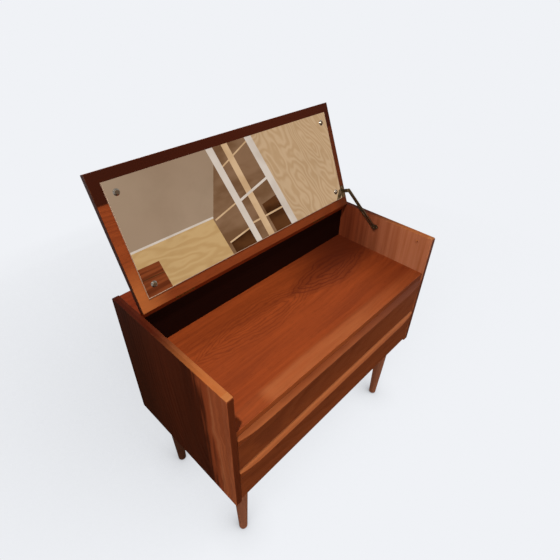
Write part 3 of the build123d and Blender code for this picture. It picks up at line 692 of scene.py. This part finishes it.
def stage_sheet(name, corners, faces, materials):
    mesh = bpy.data.meshes.new(name)
    mesh.from_pydata(corners, [], [face for face, index in faces])
    for material in materials:
        mesh.materials.append(material)
    for polygon, (face, index) in zip(mesh.polygons, faces):
        polygon.material_index = index
    sheet = bpy.data.objects.new(name, mesh)
    bpy.context.scene.collection.objects.link(sheet)
    return sheet


def make_floor():
    """A pale sheet with a soft shadow behind; in gloss, near the object, it is a warm timber tone."""
    half, shelter_share, contact_share = 30.0, 0.89, 0.55
    made = bpy.data.materials.new("pale_floor")
    made.use_nodes = True
    tree = made.node_tree
    tree.nodes.clear()
    towards = put(tree, "ShaderNodeCombineXYZ", X=-0.188, Y=-0.941, Z=0.282).outputs[0]
    shelter = put(tree, "ShaderNodeAmbientOcclusion", {"samples": 16}, Distance=1.8, Normal=towards)
    contact = put(tree, "ShaderNodeAmbientOcclusion", {"samples": 8}, Distance=0.1)
    place = tree.nodes.new("ShaderNodeTexCoord").outputs["Object"]
    away = put(tree, "ShaderNodeVectorMath", {"operation": "LENGTH"})
    feed(tree, away.inputs[0], place)
    sheltered = sum_of(tree, "MULTIPLY_ADD", shelter.outputs["AO"], shelter_share, 1 - shelter_share)
    touched = sum_of(tree, "MULTIPLY_ADD", contact.outputs["AO"], contact_share, 1 - contact_share)
    shadow = times(tree, sheltered, touched)
    grey = put(tree, "ShaderNodeCombineColor", Red=shadow, Green=shadow, Blue=shadow).outputs[0]
    shaded = blend_colour(tree, 1.0, BACKGROUND, grey, "MULTIPLY")
    glow = put(tree, "ShaderNodeEmission", Color=shaded, Strength=1.0)
    far = ease(tree, away.outputs["Value"], 1.0, 3.0)
    timber = blend_colour(tree, far, tint(104, 74, 54), BACKGROUND)
    warm = put(tree, "ShaderNodeEmission", Color=timber, Strength=1.0)
    dim = put(tree, "ShaderNodeBsdfDiffuse", Color=tint(140, 126, 112))
    rays = light_path(tree)
    shown = mix_shaders(tree, rays["Is Glossy Ray"], glow, warm)
    surface = mix_shaders(tree, seen_directly(tree), dim, shown)
    put(tree, "ShaderNodeOutputMaterial", Surface=surface.outputs[0])
    stage_sheet("floor", [(-half, -half, 0), (half, -half, 0), (half, half, 0), (-half, half, 0)],
                [((0, 1, 2, 3), 0)], [made])


def glowing(name, colour, spots, stretch, rings=0.0):
    """A surface that shows its own tone; with rings it has contour lines, as rotary-cut plywood has."""
    made = bpy.data.materials.new(name)
    made.use_nodes = True
    tree = made.node_tree
    tree.nodes.clear()
    place = tree.nodes.new("ShaderNodeTexCoord").outputs["Object"]
    mottle = speckle(tree, place, stretch, 3.0)
    if rings:
        turns = sum_of(tree, "FRACT", times(tree, mottle, rings))
        lines = sum_of(tree, "ABSOLUTE", sum_of(tree, "MULTIPLY_ADD", turns, 2.0, -1.0))
        amount = ease(tree, lines, 0.1, 0.9)
    else:
        amount = ease(tree, mottle, 0.35, 0.65)
    glow = put(tree, "ShaderNodeEmission", Color=blend_colour(tree, amount, colour, spots))
    put(tree, "ShaderNodeOutputMaterial", Surface=glow.outputs[0])
    return made


def make_backdrop():
    """A wall in front for the mirror to show: plaster over boards, a bay of shelves, plywood."""
    room_finishes = [
        glowing("plaster", tint(160, 134, 112), tint(170, 145, 123), (0.7, 0.7, 0.7)),
        glowing("pale_boards", tint(197, 158, 108), tint(207, 170, 120), (1.0, 1.0, 3.0), 12.0),
        glowing("white_rail", tint(212, 196, 184), tint(226, 212, 202), (3.0, 3.0, 3.0)),
        glowing("bay_shade", tint(118, 84, 58), tint(142, 108, 82), (2.0, 2.0, 5.0)),
        glowing("bay_depth", tint(62, 34, 16), tint(96, 58, 32), (2.0, 2.0, 5.0)),
        glowing("shelf_edge", tint(206, 168, 128), tint(222, 186, 148), (4.0, 4.0, 4.0)),
        glowing("plywood_wall", tint(194, 159, 122), tint(207, 174, 139), (1.7, 1.7, 0.8), 24.0),
        glowing("brown_boards", tint(104, 48, 25), tint(140, 70, 38), (2.0, 2.0, 30.0))]
    plaster, boards, white, shade, depth, edge, plywood, brown = range(len(room_finishes))
    wall_y, left, right, top, skirting = -2.4, -2.5, 6.0, 3.0, 1.335
    corners, faces = [], []

    def panel(finish, *outline):
        """A flat piece of the wall from its outline in x and z, laid over those before it."""
        start = len(corners)
        corners.extend((x, wall_y + 2 * MM * len(faces), z) for x, z in outline)
        faces.append((tuple(range(start, len(corners))), finish))

    def shelf(finish, x0, z0, x1, z1, thick):
        panel(finish, (x0, z0), (x1, z1), (x1, z1 + thick), (x0, z0 + thick))

    panel(boards, (left, 0), (2.3, 0), (2.3, skirting), (left, skirting))
    panel(plaster, (left, skirting), (2.3, skirting), (2.3, top), (left, top))
    shelf(white, left, skirting, 1.43, skirting, 0.018)
    panel(brown, (0.43, 0), (0.70, 0), (0.725, 1.19), (0.43, 1.195))
    shelf(depth, 0.43, 1.09, 0.72, 1.08, 0.008)
    panel(shade, (1.44, 0), (1.74, 0), (1.74, 1.83), (1.415, 1.325))
    panel(depth, (1.46, 0), (1.74, 0), (1.74, 1.09), (1.46, 1.05))
    shelf(edge, 1.43, 1.30, 1.74, 1.375, 0.016)
    shelf(edge, 1.45, 1.045, 1.74, 1.09, 0.016)
    panel(shade, (1.76, 0), (2.28, 0), (2.28, top), (1.76, top))
    panel(depth, (2.02, 0), (2.28, 0), (2.28, 1.30), (2.02, 1.26))
    panel(edge, (1.87, 0), (1.95, 0), (2.04, top), (1.96, top))
    shelf(edge, 1.78, 1.12, 2.26, 1.14, 0.018)
    shelf(white, 1.78, 1.37, 2.26, 1.49, 0.026)
    shelf(edge, 1.78, 1.75, 2.26, 1.94, 0.016)
    panel(plywood, (2.3, 0), (right, 0), (right, top), (2.3, top))
    panel(white, (1.715, 0), (1.775, 0), (1.83, top), (1.73, top))
    panel(white, (2.23, 0), (2.32, 0), (2.345, top), (2.245, top))
    wall = stage_sheet("backdrop", corners, faces, room_finishes)
    wall.visible_camera = False
    wall.visible_diffuse = False
    wall.visible_transmission = False
    wall.visible_shadow = False


def area_lamp(name, place, target, size, energy, colour):
    lamp = bpy.data.lights.new(name, "AREA")
    lamp.size = size
    lamp.energy = energy
    lamp.color = colour
    holder = bpy.data.objects.new(name, lamp)
    holder.location = place
    holder.rotation_euler = (Vector(target) - Vector(place)).to_track_quat("-Z", "Y").to_euler()
    bpy.context.scene.collection.objects.link(holder)


def make_light():
    """A lamp above the front left, soft light, fuller from the front and low down, and a rear fill."""
    least_level, front_level, low_level, least_low = 0.10, 0.50, 0.85, 0.35
    area_lamp("key", (-0.74, -0.39, 2.25), (0, 0, 0.65), 0.07, 27.2, (1.0, 0.93, 0.85))
    area_lamp("rear_fill", (0.9, 1.7, 0.5), (0.1, 0.2, 0.5), 1.0, 9.0, (1.0, 0.97, 0.93))
    world = bpy.data.worlds.new("studio")
    bpy.context.scene.world = world
    world.use_nodes = True
    tree = world.node_tree
    tree.nodes.clear()
    way = apart(tree, tree.nodes.new("ShaderNodeTexCoord").outputs["Generated"])
    from_front = ease(tree, way["Y"], 0.25, -0.75)
    from_left = ease(tree, way["X"], 0.1, -0.8)
    low = opposite(tree, ease(tree, way["Z"], 0.1, 0.6))
    fuller = sum_of(tree, "MAXIMUM", sum_of(tree, "MAXIMUM", from_front, from_left), least_low)
    level = sum_of(tree, "MULTIPLY_ADD", from_front, front_level, least_level)
    level = sum_of(tree, "MULTIPLY_ADD", times(tree, low, fuller), low_level, level)
    soft = put(tree, "ShaderNodeBackground", Color=tint(240, 236, 232), Strength=level)
    sky = blend_colour(tree, ease(tree, way["Z"], 0.3, 0.7), BACKGROUND, tint(206, 205, 204))
    pale = put(tree, "ShaderNodeBackground", Color=sky, Strength=1.0)
    surface = mix_shaders(tree, seen_directly(tree), soft, pale)
    put(tree, "ShaderNodeOutputWorld", Surface=surface.outputs[0])


def make_camera():
    """A camera at eye level: its turn from straight ahead, its look down and its roll."""
    eye = Vector((-0.7051, -0.6275, 1.4256))
    turn, drop, roll = radians(47.03), radians(37.90), radians(1.33)
    ahead = Vector((sin(turn) * cos(drop), cos(turn) * cos(drop), -sin(drop)))
    level = Vector((cos(turn), -sin(turn), 0))
    above = level.cross(ahead)
    right = cos(roll) * level + sin(roll) * above
    up = cos(roll) * above - sin(roll) * level
    data = bpy.data.cameras.new("camera")
    data.sensor_width = 36.0
    data.lens = 26.67
    camera = bpy.data.objects.new("camera", data)
    place = Matrix((right, up, -ahead)).transposed().to_4x4()
    place.translation = eye
    camera.matrix_world = place
    bpy.context.scene.collection.objects.link(camera)
    bpy.context.scene.camera = camera


make_floor()
make_backdrop()
make_light()
make_camera()
bpy.context.scene.view_settings.view_transform = "Standard"
